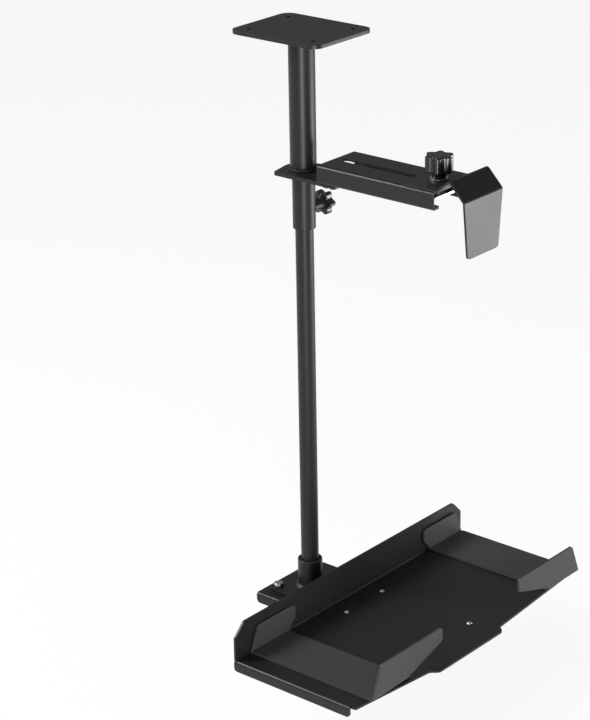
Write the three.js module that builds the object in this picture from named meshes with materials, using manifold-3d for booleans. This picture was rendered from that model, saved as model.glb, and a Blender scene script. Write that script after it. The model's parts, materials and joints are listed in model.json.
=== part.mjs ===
// Under-desk computer holder: a post hangs from a desk plate, and a mast turns inside the post.
// The mast carries a tray for the computer's foot, and a clamp with a hooked arm for its top.
// Millimetres, +Z up. The origin is the centre of the desk plate's upper face, on the post's axis.
import * as THREE from 'three';
import { mergeVertices } from 'three/addons/utils/BufferGeometryUtils.js';
import Module from 'manifold-3d';

const wasm = await Module();
wasm.setup();

// ---------------------------------------------------------------- driving dimensions
const gap = 0.3;                 // running gap between neighbouring pieces
const facets = 32;               // sides of a full turn on the larger round pieces
const smallFacets = 14;          // and on holes and fasteners
const sheet = 2.5;               // thickness of the bent sheets
const bend = 0.9;                // inner radius of the tray's and channels' bends
const softBend = 1.4;            // inner radius of the arm's and cradles' bends

const deskPlate = { x: 120, y: 96, t: 4, corner: 12, edge: 16, hole: 5.5 };
const mast = { od: 20, wall: 2.5, headRoom: 24 };
const bush = { wall: 2.1, h: 12, upperH: 20, capH: 3 };
const post = { wall: 1.6, length: 150, lip: 3, weld: 5 };
const headRing = { h: 12, pin: 4, pinShort: 0.5 };
const swivelWasher = { rim: 1.7, t: 2 };

const collar = { t: 4, rim: 9.2, left: -18.3, front: 27.5, lap: 20.5, corner: 2, rearCorner: 6 };
const sleeve = { wall: 2.2, h: 62 };
const heightLock = { drop: 46, bossOd: 15, bossLength: 12, bossSink: 1.2, stud: 6 };

const channel = { left: 45.5, length: 152.3, width: 65, height: 20, lip: 13 };
const slot = { start: 9, endMargin: 8, width: 9 };
const rivet = { shank: 4, head: 7, headH: 1.6 };
const lipRivet = { side: 8.5, from: 6, pitch: 9 };

const arm = { flat: 44, overhang: 3.8, run: 16.5, rise: 13.5, slope: 18.2, drop: 19, flange: 61.5 };
const flangeEnd = { taper: 6.5, corner: 4 };
const knobBack = 20.6;           // from the arm's first fold back to the width knob's axis
const slidePlate = { length: 30, sideGap: 1, t: 3, drop: 8, bossR: 6.5, studOut: 3 };
const pad = { t: 3, edge: 5, top: 8, corner: 3 };
const knobWasher = { r: 9.5, t: 1.6 };

const shelfDrop = 500;           // from the collar's top to the shelf's top
const shelf = { left: 47, right: 213.5, front: -186, rear: 222, wall: 42, lip: 12, lipShort: 6 };
// the shelf's free edge swells towards the middle, and ends there in a tab with bevelled shoulders
const tab = { front: -72, rear: 56, swell: 12.5, out: 8.5, shoulder: 7 };
const wallEnd = { inset: 1, run: 14.5, rise: 15.2, corner: 2 };
const lipCorner = 4;
const cross = { left: -42, short: 8.5, front: -46, rear: 62, height: 12.5 };
const foot = { side: 70, t: 5, corner: 8, socketWall: 3.7, socketH: 34, edge: 9 };
const bolt = { shank: 6, flats: 10, headH: 4, nutH: 5, tail: 7 };
const trayRivets = { fromLeft: 25, fromRight: 17.5, inset: 22 };

const cradle = { over: 7, front: 24, rear: 2.5, base: 62, wall: 38, lean: 0.4, flare: 58, flareH: 22 };
const guide = { clear: 0.6, t: 2.5, height: 30, flare: 12 };
const lock = { at: 75, travel: 40, inset: 30, nutOd: 10.4, studShort: 0.4 };

// star knobs: radius, lobe count and depth, head height, hub radius and height, stud radius
const starLarge = { r: 15.5, lobes: 6, depth: 2.1, h: 18, hubR: 7.5, hubH: 6, stud: 3 };
const starSmall = { r: 14, lobes: 6, depth: 1.9, h: 10, hubR: 6.5, hubH: 4, stud: 2.7 };

// ---------------------------------------------------------------- derived levels and places
const mastR = mast.od / 2;
const bushOuter = mastR + gap + bush.wall;
const postBore = bushOuter + gap;
const postR = postBore + post.wall;
const sleeveR = mastR + gap + sleeve.wall;
const postTop = -(deskPlate.t + gap);
const collarTop = -(post.length + gap + swivelWasher.t + gap);
const channelBottom = collarTop + gap;
const channelTop = channelBottom + channel.height;
const channelRight = channel.left + channel.length;
const shelfTop = collarTop - shelfDrop;
const crossTop = shelfTop - sheet - gap;
const footBottom = crossTop + gap;
const armBottom = channelTop + gap;
const foldX = channelRight + arm.overhang;
const knobX = foldX - knobBack;
const mastTop = -(deskPlate.t + gap + mast.headRoom);
const mastBottom = footBottom + gap;
const cradleRight = shelf.right + cradle.over;
const cradleFloor = shelfTop + gap;
const guideX = shelf.left + sheet + guide.clear;

// ---------------------------------------------------------------- finishes
const finish = (color, roughness, metalness) =>
  new THREE.MeshStandardMaterial({ color, roughness, metalness });
const blackSteel = finish(0x1d1e20, 0.5, 0.2);
const greySteel = finish(0x3a3c3f, 0.5, 0.25);
const zincSteel = finish(0x9a9c9e, 0.35, 0.9);
const nylon = finish(0x101112, 0.45, 0);
const glossPlastic = finish(0x0b0b0c, 0.25, 0);
const foam = finish(0x161616, 0.95, 0);

// ---------------------------------------------------------------- joining and cutting
function toSolid(geometry) {
  const g = geometry.index ? geometry.toNonIndexed() : geometry.clone();
  g.deleteAttribute('normal');
  g.deleteAttribute('uv');
  const m = mergeVertices(g, 1e-4);
  return new wasm.Manifold(new wasm.Mesh({
    numProp: 3,
    vertProperties: new Float32Array(m.attributes.position.array),
    triVerts: new Uint32Array(m.index.array),
  }));
}

function toGeometry(solid) {
  const mesh = solid.getMesh();
  const g = new THREE.BufferGeometry();
  g.setAttribute('position', new THREE.BufferAttribute(new Float32Array(mesh.vertProperties), 3));
  g.setIndex(new THREE.BufferAttribute(new Uint32Array(mesh.triVerts), 1));
  return g;
}

// one solid: `base` joined with all of `add`, then cut by `cut`, then kept only inside `keep`
function make(base, { add = [], cut = [], keep = [] } = {}) {
  let solid = toSolid(base);
  for (const g of add) solid = solid.add(toSolid(g));
  for (const g of cut) solid = solid.subtract(toSolid(g));
  for (const g of keep) solid = solid.intersect(toSolid(g));
  return toGeometry(solid);
}

const group = new THREE.Group();
function piece(name, geometry, material) {
  const mesh = new THREE.Mesh(geometry, material);
  mesh.name = name;
  group.add(mesh);
}

// ---------------------------------------------------------------- plain shapes
const box = (x0, x1, y0, y1, z0, z1) => new THREE.BoxGeometry(x1 - x0, y1 - y0, z1 - z0)
  .translate((x0 + x1) / 2, (y0 + y1) / 2, (z0 + z1) / 2);

// upright cylinder from z0 to z1
const rod = (r, x, y, z0, z1, sides = facets) => new THREE.CylinderGeometry(r, r, z1 - z0, sides)
  .rotateX(Math.PI / 2).translate(x, y, (z0 + z1) / 2);

// cylinder along Y from y0 to y1
const rodY = (r, x, z, y0, y1, sides = smallFacets) =>
  new THREE.CylinderGeometry(r, r, y1 - y0, sides).translate(x, (y0 + y1) / 2, z);

// cylinder along X from x0 to x1
const rodX = (r, y, z, x0, x1, sides = smallFacets) =>
  new THREE.CylinderGeometry(r, r, x1 - x0, sides).rotateZ(Math.PI / 2).translate((x0 + x1) / 2, y, z);

// cutter for a small upright hole through the level z
const hole = (x, y, r, z, reach = 8) => rod(r, x, y, z - reach, z + reach, smallFacets);

// turned piece about Z from a closed outline of [radius, z] points, counter-clockwise in r and z
function turned(outline, sides = facets) {
  const points = [...outline, outline[0]].map(([r, z]) => new THREE.Vector2(r, z));
  return new THREE.LatheGeometry(points, sides).rotateX(Math.PI / 2);
}

const ring = (ri, ro, z0, z1) => turned([[ri, z0], [ro, z0], [ro, z1], [ri, z1]]);

// outline with rounded corners; each point is [a, b, radius]
function rounded(points, steps = 3) {
  const shape = [];
  points.forEach(([x, y, r = 0], i) => {
    const [px, py] = points[(i + points.length - 1) % points.length];
    const [nx, ny] = points[(i + 1) % points.length];
    if (!r) {
      shape.push(new THREE.Vector2(x, y));
      return;
    }
    const a = new THREE.Vector2(px - x, py - y).normalize();
    const b = new THREE.Vector2(nx - x, ny - y).normalize();
    const halfAngle = Math.acos(a.dot(b)) / 2;
    const reach = r / Math.tan(halfAngle);
    const middle = a.clone().add(b).normalize().multiplyScalar(r / Math.sin(halfAngle)).add({ x, y });
    const from = a.clone().multiplyScalar(reach).add({ x, y }).sub(middle);
    const to = b.clone().multiplyScalar(reach).add({ x, y }).sub(middle);
    const start = from.angle();
    let turn = to.angle() - start;
    if (turn > Math.PI) turn -= 2 * Math.PI;
    if (turn < -Math.PI) turn += 2 * Math.PI;
    for (let k = 0; k <= steps; k++) {
      const angle = start + (turn * k) / steps;
      shape.push(new THREE.Vector2(middle.x + r * Math.cos(angle), middle.y + r * Math.sin(angle)));
    }
  });
  return new THREE.Shape(shape);
}

// outline of a bent sheet of thickness `t`: the corners of its mid-line become arcs
function bentOutline(corners, t, inner, steps = 3) {
  const pts = corners.map(([x, y]) => new THREE.Vector2(x, y));
  const left = [];
  const right = [];
  const normal = (a, b) => new THREE.Vector2(a.y - b.y, b.x - a.x).normalize();
  const both = (p, n) => {
    left.push(p.clone().addScaledVector(n, t / 2));
    right.push(p.clone().addScaledVector(n, -t / 2));
  };
  both(pts[0], normal(pts[0], pts[1]));
  for (let i = 1; i < pts.length - 1; i++) {
    const d0 = pts[i].clone().sub(pts[i - 1]).normalize();
    const d1 = pts[i + 1].clone().sub(pts[i]).normalize();
    const turn = Math.atan2(d0.cross(d1), d0.dot(d1));
    const radius = (inner + t / 2) * Math.sign(turn);
    const reach = Math.abs(radius * Math.tan(turn / 2));
    const n0 = normal(pts[i - 1], pts[i]);
    const centre = pts[i].clone().addScaledVector(d0, -reach).addScaledVector(n0, radius);
    for (let k = 0; k <= steps; k++) {
      const n = n0.clone().rotateAround(new THREE.Vector2(), (turn * k) / steps);
      both(centre.clone().addScaledVector(n, -radius), n);
    }
  }
  both(pts.at(-1), normal(pts.at(-2), pts.at(-1)));
  return new THREE.Shape([...left, ...right.reverse()]);
}

const extrude = (shape, depth) => new THREE.ExtrudeGeometry(shape, { depth, bevelEnabled: false });

// outline in X and Y, from z0 to z1
const plateXY = (shape, z0, z1) => extrude(shape, z1 - z0).translate(0, 0, z0);

// outline in X and Z, from y0 to y1
const plateXZ = (shape, y0, y1) => extrude(shape, y1 - y0).rotateX(Math.PI / 2).translate(0, y1, 0);

// outline in Y and Z, from x0 to x1
const plateYZ = (shape, x0, x1) => extrude(shape, x1 - x0).rotateX(Math.PI / 2).rotateZ(Math.PI / 2)
  .translate(x0, 0, 0);

const rectangle = (x0, x1, y0, y1, r) => rounded([[x0, y0, r], [x1, y0, r], [x1, y1, r], [x0, y1, r]]);

// cutter for a slot with round ends along X
function slotCut(x0, x1, y, width, z0, z1) {
  const half = width / 2;
  const r = half - 0.01;
  const corners = [[x0, y - half, r], [x1, y - half, r], [x1, y + half, r], [x0, y + half, r]];
  return plateXY(rounded(corners, 8), z0, z1);
}

const grid = (xs, ys) => xs.flatMap((x) => ys.map((y) => [x, y]));

// ---------------------------------------------------------------- fasteners and knobs
// rivet with a head on each side of the faces at z0 and z1
function rivetSolid(x, y, z0, z1) {
  const rs = rivet.shank / 2;
  const rh = rivet.head / 2;
  const crown = rh * 0.7;
  const shoulder = rivet.headH * 0.4;
  const low = z0 - gap;
  const high = z1 + gap;
  const outline = [[0, low - rivet.headH], [crown, low - rivet.headH], [rh, low - shoulder], [rh, low],
    [rs, low], [rs, high], [rh, high], [rh, high + shoulder], [crown, high + rivet.headH],
    [0, high + rivet.headH]];
  return turned(outline, smallFacets).translate(x, y, 0);
}

const hexagon = (acrossFlats) => new THREE.Shape(Array.from({ length: 6 }, (_, i) => {
  const angle = ((i + 0.5) * Math.PI) / 3;
  const r = acrossFlats / Math.sqrt(3);
  return new THREE.Vector2(r * Math.cos(angle), r * Math.sin(angle));
}));

// lobed grip standing on z = 0, with its hub below it
function starKnob({ r, lobes, depth, h, hubR, hubH }) {
  const steps = lobes * 8;
  const edge = 1.2;
  const outline = Array.from({ length: steps }, (_, i) => {
    const angle = (i * 2 * Math.PI) / steps;
    const radius = r - depth + depth * Math.cos(lobes * angle);
    return new THREE.Vector2(radius * Math.cos(angle), radius * Math.sin(angle));
  });
  const grip = new THREE.ExtrudeGeometry(new THREE.Shape(outline), {
    depth: h - 2 * edge, bevelThickness: edge, bevelSize: edge, bevelOffset: -edge, bevelSegments: 1,
  }).translate(0, 0, edge);
  return make(grip, { add: [rod(hubR, 0, 0, -hubH, edge, 20)] });
}

// stud from z0 to z1, with a chamfer at its lower tip
function studSolid(r, z0, z1) {
  const chamfer = r * 0.3;
  return turned([[0, z0], [r - chamfer, z0], [r, z0 + chamfer], [r, z1], [0, z1]], smallFacets);
}

// ---------------------------------------------------------------- desk plate and post
const plateX = deskPlate.x / 2;
const plateY = deskPlate.y / 2;
const screwX = plateX - deskPlate.edge;
const screwY = plateY - deskPlate.edge;
piece('desk_plate', make(
  plateXY(rectangle(-plateX, plateX, -plateY, plateY, deskPlate.corner), -deskPlate.t, 0),
  { cut: grid([-screwX, screwX], [-screwY, screwY]).map(([x, y]) => hole(x, y, deskPlate.hole / 2, 0)) },
), blackSteel);

const lipBore = mastR + gap;
const lipTop = -post.length + post.lip;
piece('outer_post', turned([[lipBore, -post.length], [postR, -post.length], [postR, postTop],
  [postBore, postTop], [postBore, lipTop], [lipBore, lipTop]]), blackSteel);
piece('post_weld', turned([[postR + gap, postTop - post.weld], [postR + gap + post.weld, postTop],
  [postR + gap, postTop]]), blackSteel);
const bushBottom = lipTop + gap;
piece('thrust_bush', ring(mastR + gap, bushOuter, bushBottom, bushBottom + bush.h), nylon);

// ---------------------------------------------------------------- turning mast
const ringBottom = bushBottom + bush.h + gap;
const pinZ = ringBottom + headRing.h / 2;
const pinHole = () => rodX(headRing.pin / 2 + gap, 0, pinZ, -postR, postR);
const pinReach = bushOuter - headRing.pinShort;
piece('mast_tube', make(ring(mastR - mast.wall, mastR, mastBottom, mastTop),
  { cut: [pinHole()] }), blackSteel);
piece('head_ring', make(ring(mastR + gap, bushOuter, ringBottom, ringBottom + headRing.h),
  { cut: [pinHole()] }), zincSteel);
piece('head_pin', rodX(headRing.pin / 2, 0, pinZ, -pinReach, pinReach), zincSteel);
const capBottom = mastTop + gap;
piece('mast_cap', turned([[0, capBottom], [bushOuter, capBottom], [bushOuter, capBottom + bush.capH],
  [0, capBottom + bush.capH]]), nylon);
piece('guide_bush', ring(mastR + gap, bushOuter, mastTop - bush.upperH, mastTop), nylon);

// foot plate with a socket for the mast, bolted to the cross channel
const footTop = footBottom + foot.t;
const socketTop = footTop + foot.socketH;
const footHalf = foot.side / 2;
const boltAt = footHalf - foot.edge;
const boltHole = bolt.shank / 2 + gap;
const footBolts = grid([-boltAt, boltAt], [-boltAt, boltAt]);
piece('mast_socket', make(
  plateXY(rectangle(-footHalf, footHalf, -footHalf, footHalf, foot.corner), footBottom, footTop), {
    add: [rod(mastR + gap + foot.socketWall, 0, 0, footTop - 1, socketTop)],
    cut: [rod(mastR + gap, 0, 0, footBottom - 1, socketTop + 1),
      ...footBolts.map(([x, y]) => hole(x, y, boltHole, footBottom))],
  },
), blackSteel);

// cross channel, open downwards
const trayRivetSpots = grid([shelf.left + trayRivets.fromLeft, shelf.right - trayRivets.fromRight],
  [cross.front + trayRivets.inset, cross.rear - trayRivets.inset]);
const rivetHole = rivet.shank / 2 + gap;
const crossMid = crossTop - sheet / 2;
const crossShape = bentOutline([[cross.front + sheet / 2, crossTop - cross.height],
  [cross.front + sheet / 2, crossMid], [cross.rear - sheet / 2, crossMid],
  [cross.rear - sheet / 2, crossTop - cross.height]], sheet, bend);
piece('cross_channel', make(plateYZ(crossShape, cross.left, shelf.right - cross.short), {
  cut: [...footBolts.map(([x, y]) => hole(x, y, boltHole, crossTop)),
    ...trayRivetSpots.map(([x, y]) => hole(x, y, rivetHole, crossTop))],
}), blackSteel);

footBolts.forEach(([x, y], i) => {
  const headBottom = footTop + gap;
  const webBottom = crossTop - sheet;
  const nutBottom = webBottom - gap - bolt.nutH;
  piece(`mast_bolt_${i + 1}`, make(extrude(hexagon(bolt.flats), bolt.headH).translate(x, y, headBottom),
    { add: [rod(bolt.shank / 2, x, y, webBottom - bolt.tail, headBottom + 1, smallFacets)] }), zincSteel);
  piece(`mast_nut_${i + 1}`, make(extrude(hexagon(bolt.flats), bolt.nutH).translate(x, y, nutBottom),
    { cut: [hole(x, y, boltHole, nutBottom)] }), zincSteel);
});

// ---------------------------------------------------------------- tray: shelf, wall and lips
const bendReach = bend + sheet;
const cradleFront = shelf.front + cradle.front;
const mirrorY = (y) => shelf.rear - cradle.rear - (y - cradleFront);
const lockX = shelf.left + lock.at;
const lockYs = [cradleFront + lock.inset, mirrorY(cradleFront + lock.inset)];
const shelfMidZ = shelfTop - sheet / 2;
const lipBottom = shelfTop - shelf.lip;
const shelfBase = bentOutline([[shelf.front + sheet / 2, lipBottom], [shelf.front + sheet / 2, shelfMidZ],
  [shelf.rear - sheet / 2, shelfMidZ], [shelf.rear - sheet / 2, lipBottom]], sheet, bend);
const wallTop = shelfTop + shelf.wall;
const shelfSide = bentOutline([[shelf.left + sheet / 2, wallTop], [shelf.left + sheet / 2, shelfMidZ],
  [shelf.left + bendReach + 4, shelfMidZ]], sheet, bend);
const sideFront = shelf.front + wallEnd.inset;
const sideRear = shelf.rear - wallEnd.inset;
const wallOutline = rounded([[sideFront, shelfTop - sheet - 1], [sideRear, shelfTop - sheet - 1],
  [sideRear, wallTop - wallEnd.rise, wallEnd.corner], [sideRear - wallEnd.run, wallTop, wallEnd.corner],
  [sideFront + wallEnd.run, wallTop, wallEnd.corner], [sideFront, wallTop - wallEnd.rise, wallEnd.corner]]);
const lipLeft = shelf.left + 0.5;
const lipRight = shelf.right - shelf.lipShort;
const lipOutline = rounded([[lipLeft, shelfTop], [lipLeft, lipBottom, lipCorner],
  [lipRight, lipBottom, lipCorner], [lipRight, shelfTop]]);

// what a lip loses beyond its rounded ends, below its bend
const lipWaste = (y0, y1) => make(
  box(shelf.left, shelf.right, y0, y1, lipBottom - 1, shelfTop - bendReach),
  { cut: [plateXZ(lipOutline, y0 - 1, y1 + 1)] },
);
const slotReach = lock.nutOd / 2 + gap;
const lockSlot = (y) => slotCut(lockX - slotReach, lockX + lock.travel + slotReach, y, 2 * slotReach,
  shelfTop - sheet - 1, shelfTop + 1);
const sideWall = make(plateXZ(shelfSide, sideFront, sideRear),
  { keep: [plateYZ(wallOutline, 0, shelf.right)] });

// the shelf from above: the lips stop short of its free edge
const flatFront = shelf.front + bendReach;
const flatRear = shelf.rear - bendReach;
const neck = shelf.right + tab.swell;
const tabRight = neck + tab.out;
const fromAbove = rounded([[shelf.left - 1, shelf.front - 1], [lipRight, shelf.front - 1],
  [lipRight, flatFront], [shelf.right, flatFront, 2.5], [neck, tab.front],
  [tabRight, tab.front + tab.shoulder, 3], [tabRight, tab.rear - tab.shoulder, 3], [neck, tab.rear],
  [shelf.right, flatRear, 2.5], [lipRight, flatRear], [lipRight, shelf.rear + 1],
  [shelf.left - 1, shelf.rear + 1]]);
const lipStart = (y0, y1) => make(plateYZ(shelfBase, lipLeft, shelf.left + bendReach + 1),
  { keep: [box(shelf.left, shelf.right, y0, y1, lipBottom - 1, shelfTop)] });
piece('shelf_tray', make(plateYZ(shelfBase, shelf.left + bendReach, tabRight), {
  add: [sideWall, lipStart(shelf.front, flatFront), lipStart(flatRear, shelf.rear)],
  keep: [plateXY(fromAbove, lipBottom - 1, wallTop + 1)],
  cut: [lipWaste(shelf.front - 1, shelf.front + bendReach), lipWaste(shelf.rear - bendReach, shelf.rear + 1),
    ...lockYs.map(lockSlot), ...trayRivetSpots.map(([x, y]) => hole(x, y, rivetHole, shelfTop))],
}), blackSteel);

trayRivetSpots.forEach(([x, y], i) => {
  piece(`tray_rivet_${i + 1}`, rivetSolid(x, y, crossTop - sheet, shelfTop), zincSteel);
});

// ---------------------------------------------------------------- guides and sliding cradles
// an upright's outline in Y and Z: it leans back at its outer end and flares at the other
function uprightOutline(height, mirrored, flare, flareH) {
  const z0 = cradleFloor;
  const rear = cradleFront + cradle.base;
  const points = [[cradleFront, z0 - 1], [rear, z0 - 1], [rear, z0 + sheet], [rear + flare, z0 + flareH, 2],
    [rear + flare, z0 + height, 5], [cradleFront + height * cradle.lean, z0 + height, 3],
    [cradleFront, z0 + 0.5]];
  return rounded(mirrored ? points.map(([y, z, r]) => [mirrorY(y), z, r]).reverse() : points);
}

const cradleShape = bentOutline([[guideX + guide.t + gap, cradleFloor + sheet / 2],
  [cradleRight - sheet / 2, cradleFloor + sheet / 2],
  [cradleRight - sheet / 2, cradleFloor + cradle.wall]], sheet, softBend);

['front', 'rear'].forEach((end, i) => {
  const mirrored = end === 'rear';
  const reach = cradle.base + cradle.flare;
  const [low, high] = mirrored ? [mirrorY(cradleFront + reach), mirrorY(cradleFront)]
    : [cradleFront, cradleFront + reach];
  const guideCut = plateYZ(uprightOutline(guide.height, mirrored, guide.flare, guide.height / 2),
    guideX - 1, guideX + guide.t + 1);
  const guidePlate = box(guideX, guideX + guide.t, low, high, cradleFloor, cradleFloor + guide.height);
  piece(`guide_${end}`, make(guidePlate, { keep: [guideCut] }), greySteel);

  const lockY = lockYs[i];
  const cradleCut = plateYZ(uprightOutline(cradle.wall, mirrored, cradle.flare, cradle.flareH),
    guideX, cradleRight + 1);
  piece(`cradle_${end}`, make(plateXZ(cradleShape, low, high), {
    keep: [cradleCut],
    cut: [hole(lockX, lockY, starSmall.stud + gap, cradleFloor)],
  }), greySteel);
  piece(`cradle_nut_${end}`, make(rod(lock.nutOd / 2, lockX, lockY, shelfTop - sheet + gap, shelfTop, 20),
    { cut: [hole(lockX, lockY, starSmall.stud + gap, shelfTop)] }), zincSteel);
  const knobTop = shelfTop - sheet - gap;
  const studTop = cradleFloor + sheet - lock.studShort;
  piece(`cradle_knob_${end}`,
    starKnob(starSmall).rotateX(Math.PI).translate(lockX, lockY, knobTop - starSmall.hubH), glossPlastic);
  piece(`cradle_stud_${end}`, studSolid(starSmall.stud, -studTop, -(knobTop + gap))
    .rotateX(Math.PI).translate(lockX, lockY, 0), zincSteel);
});

// ---------------------------------------------------------------- upper clamp
const washerZ = collarTop + gap;
piece('swivel_washer', ring(mastR + gap, postR + swivelWasher.rim, washerZ, washerZ + swivelWasher.t), nylon);

// collar plate: round behind the post, with a square front-left corner, lapping under the channel
const collarR = postR + collar.rim;
const collarRight = channel.left + collar.lap;
const collarArc = { from: Math.PI * 0.5, to: Math.PI * 1.06, steps: 8 };
const collarOutline = Array.from({ length: collarArc.steps + 1 }, (_, i) => {
  const angle = collarArc.from + ((collarArc.to - collarArc.from) * i) / collarArc.steps;
  return [collarR * Math.cos(angle), collarR * Math.sin(angle)];
});
collarOutline.push([collar.left, -collar.front, collar.corner], [collarRight, -collar.front, collar.corner],
  [collarRight, collar.front, collar.corner], [channel.left - collar.lap, collar.front, collar.rearCorner]);
const lipRivetY = channel.width / 2 - lipRivet.side;
const lipRivetX = channel.left + lipRivet.from;
const lipRivetSpots = grid([lipRivetX, lipRivetX + lipRivet.pitch], [-lipRivetY, lipRivetY]);
piece('collar_plate', make(plateXY(rounded(collarOutline), collarTop - collar.t, collarTop), {
  cut: [rod(mastR + gap, 0, 0, collarTop - collar.t - 1, collarTop + 1),
    ...lipRivetSpots.map(([x, y]) => hole(x, y, rivetHole, collarTop))],
}), blackSteel);

const sleeveTop = collarTop - collar.t - gap;
const lockZ = collarTop - heightLock.drop;
const lockBore = heightLock.stud / 2 + gap;
const bossFrom = sleeveR - heightLock.bossSink;
const bossEnd = bossFrom + heightLock.bossLength;
piece('clamp_sleeve', make(ring(mastR + gap, sleeveR, sleeveTop - sleeve.h, sleeveTop),
  { cut: [rodY(lockBore, 0, lockZ, 0, 2 * sleeveR)] }), blackSteel);
piece('lock_boss', make(rodY(heightLock.bossOd / 2, 0, lockZ, bossFrom, bossEnd, 20), {
  cut: [rodY(lockBore, 0, lockZ, 0, bossEnd + 1),
    rod(sleeveR + gap, 0, 0, lockZ - heightLock.bossOd, lockZ + heightLock.bossOd)],
}), blackSteel);

// height knob, screwed in from the rear
const heightKnobY = bossEnd + gap + starSmall.hubH;
piece('height_knob', starKnob(starSmall).rotateX(-Math.PI / 2).translate(0, heightKnobY, lockZ),
  glossPlastic);
piece('height_stud', rodY(heightLock.stud / 2, 0, lockZ, mastR + 2 * gap, bossEnd), zincSteel);

// C channel, open downwards, with a long slot in its top
const wallY = channel.width / 2 - sheet / 2;
const lipY = wallY - channel.lip + sheet / 2;
const lipZ = channelBottom + sheet / 2;
const webZ = channelTop - sheet / 2;
const channelShape = bentOutline([[-lipY, lipZ], [-wallY, lipZ], [-wallY, webZ], [wallY, webZ], [wallY, lipZ],
  [lipY, lipZ]], sheet, bend);
piece('top_channel', make(plateYZ(channelShape, channel.left, channelRight), {
  cut: [slotCut(channel.left + slot.start, channelRight - slot.endMargin, 0, slot.width,
    channelTop - sheet - 1, channelTop + 1),
  ...lipRivetSpots.map(([x, y]) => hole(x, y, rivetHole, lipZ))],
}), blackSteel);
lipRivetSpots.forEach(([x, y], i) => {
  piece(`lip_rivet_${i + 1}`, rivetSolid(x, y, collarTop - collar.t, channelBottom + sheet), zincSteel);
});

// ---------------------------------------------------------------- hooked arm
const armZ = armBottom + sheet / 2;
const flangeX = foldX + arm.run + arm.slope;
const flangeZ = armZ + arm.rise - arm.drop;
const flangeBottom = flangeZ - arm.flange;
const armShape = bentOutline([[foldX - arm.flat, armZ], [foldX, armZ], [foldX + arm.run, armZ + arm.rise],
  [flangeX, flangeZ], [flangeX, flangeBottom]], sheet, softBend);
const armHalf = channel.width / 2;
const flangeHalf = armHalf - flangeEnd.taper;
const aboveArm = armZ + arm.rise + sheet;
const armOutline = rounded([[-armHalf, aboveArm], [-armHalf, flangeZ],
  [-flangeHalf, flangeBottom, flangeEnd.corner], [flangeHalf, flangeBottom, flangeEnd.corner],
  [armHalf, flangeZ], [armHalf, aboveArm]]);
piece('hook_arm', make(plateXZ(armShape, -armHalf, armHalf), {
  keep: [plateYZ(armOutline, 0, flangeX + sheet)],
  cut: [hole(knobX, 0, starLarge.stud + gap, armBottom)],
}), blackSteel);

const padX = flangeX - sheet / 2 - gap;
const padHalf = flangeHalf - pad.edge;
const padOutline = rectangle(-padHalf, padHalf, flangeBottom + pad.edge, flangeZ - pad.top, pad.corner);
piece('hook_pad', plateYZ(padOutline, padX - pad.t, padX), foam);

// slide plate inside the channel, with a boss that runs in the slot's line below the channel's top
const slideTop = channelTop - sheet - slidePlate.drop + slidePlate.t;
const slideBottom = slideTop - slidePlate.t;
const slideX = slidePlate.length / 2;
const slideY = channel.width / 2 - sheet - slidePlate.sideGap;
piece('slide_plate', make(
  box(knobX - slideX, knobX + slideX, -slideY, slideY, slideBottom, slideTop), {
    add: [rod(slidePlate.bossR, knobX, 0, slideTop - 1, channelTop - sheet - gap, 20)],
    cut: [hole(knobX, 0, starLarge.stud + gap, slideTop, 14)],
  },
), zincSteel);
const washerBottom = armBottom + sheet + gap;
const washerTop = washerBottom + knobWasher.t;
piece('knob_washer', ring(starLarge.stud + gap, knobWasher.r, washerBottom, washerTop)
  .translate(knobX, 0, 0), zincSteel);
const hubBottom = washerTop + gap;
piece('width_knob', starKnob(starLarge).translate(knobX, 0, hubBottom + starLarge.hubH), glossPlastic);
piece('width_stud', studSolid(starLarge.stud, slideBottom - slidePlate.studOut, hubBottom - gap)
  .translate(knobX, 0, 0), zincSteel);

export default group;
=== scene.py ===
import json
import math
import bmesh
import bpy
from mathutils import Matrix, Vector


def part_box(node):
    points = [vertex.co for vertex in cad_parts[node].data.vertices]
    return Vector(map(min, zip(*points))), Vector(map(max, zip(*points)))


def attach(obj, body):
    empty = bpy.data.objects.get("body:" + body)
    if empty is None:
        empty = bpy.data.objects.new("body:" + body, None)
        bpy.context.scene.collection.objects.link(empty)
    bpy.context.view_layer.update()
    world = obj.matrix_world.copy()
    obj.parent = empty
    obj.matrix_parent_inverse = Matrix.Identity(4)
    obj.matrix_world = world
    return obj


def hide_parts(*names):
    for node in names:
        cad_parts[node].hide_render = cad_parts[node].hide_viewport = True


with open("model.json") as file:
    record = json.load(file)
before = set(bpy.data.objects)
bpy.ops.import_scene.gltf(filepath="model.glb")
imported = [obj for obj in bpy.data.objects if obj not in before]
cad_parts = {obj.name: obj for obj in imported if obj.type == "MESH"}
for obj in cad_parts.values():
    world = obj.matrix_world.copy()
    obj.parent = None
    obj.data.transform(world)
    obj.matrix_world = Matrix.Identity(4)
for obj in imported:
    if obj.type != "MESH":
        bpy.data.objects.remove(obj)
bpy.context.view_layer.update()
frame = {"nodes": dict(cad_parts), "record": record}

# Under-desk computer holder. Every length is in metres, in the frame's own axes.
BOX = {name: tuple(Vector(corner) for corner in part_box(name)) for name in frame["nodes"]}
BODY_OF = {node: body for body, nodes in frame["record"]["behaviour"]["bodies"].items() for node in nodes}

SHEET = 0.0025            # thickness of the folded sheets
ARRIS = 0.00035           # rounding of the sheets' cut edges
TUBE_SIDES = 96           # sides of the tubes and what fits round them
FOLD_STEPS = 7            # facets in a fold
TIGHT_BEND = 0.0009       # inside radius of the channels' and the tray's folds
SOFT_BEND = 0.0014        # inside radius of the arm's and the cradles' folds
GAP = 0.0003              # clearance between neighbouring pieces
SLIDING_BORE = 0.0103     # radius of the bores that the mast runs in
SLOT_DEPTH = 0.01         # height of a slot's cutter
MERGE = 1e-6              # points this close are one


def lo(node):
    return BOX[node][0]


def hi(node):
    return BOX[node][1]


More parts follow.
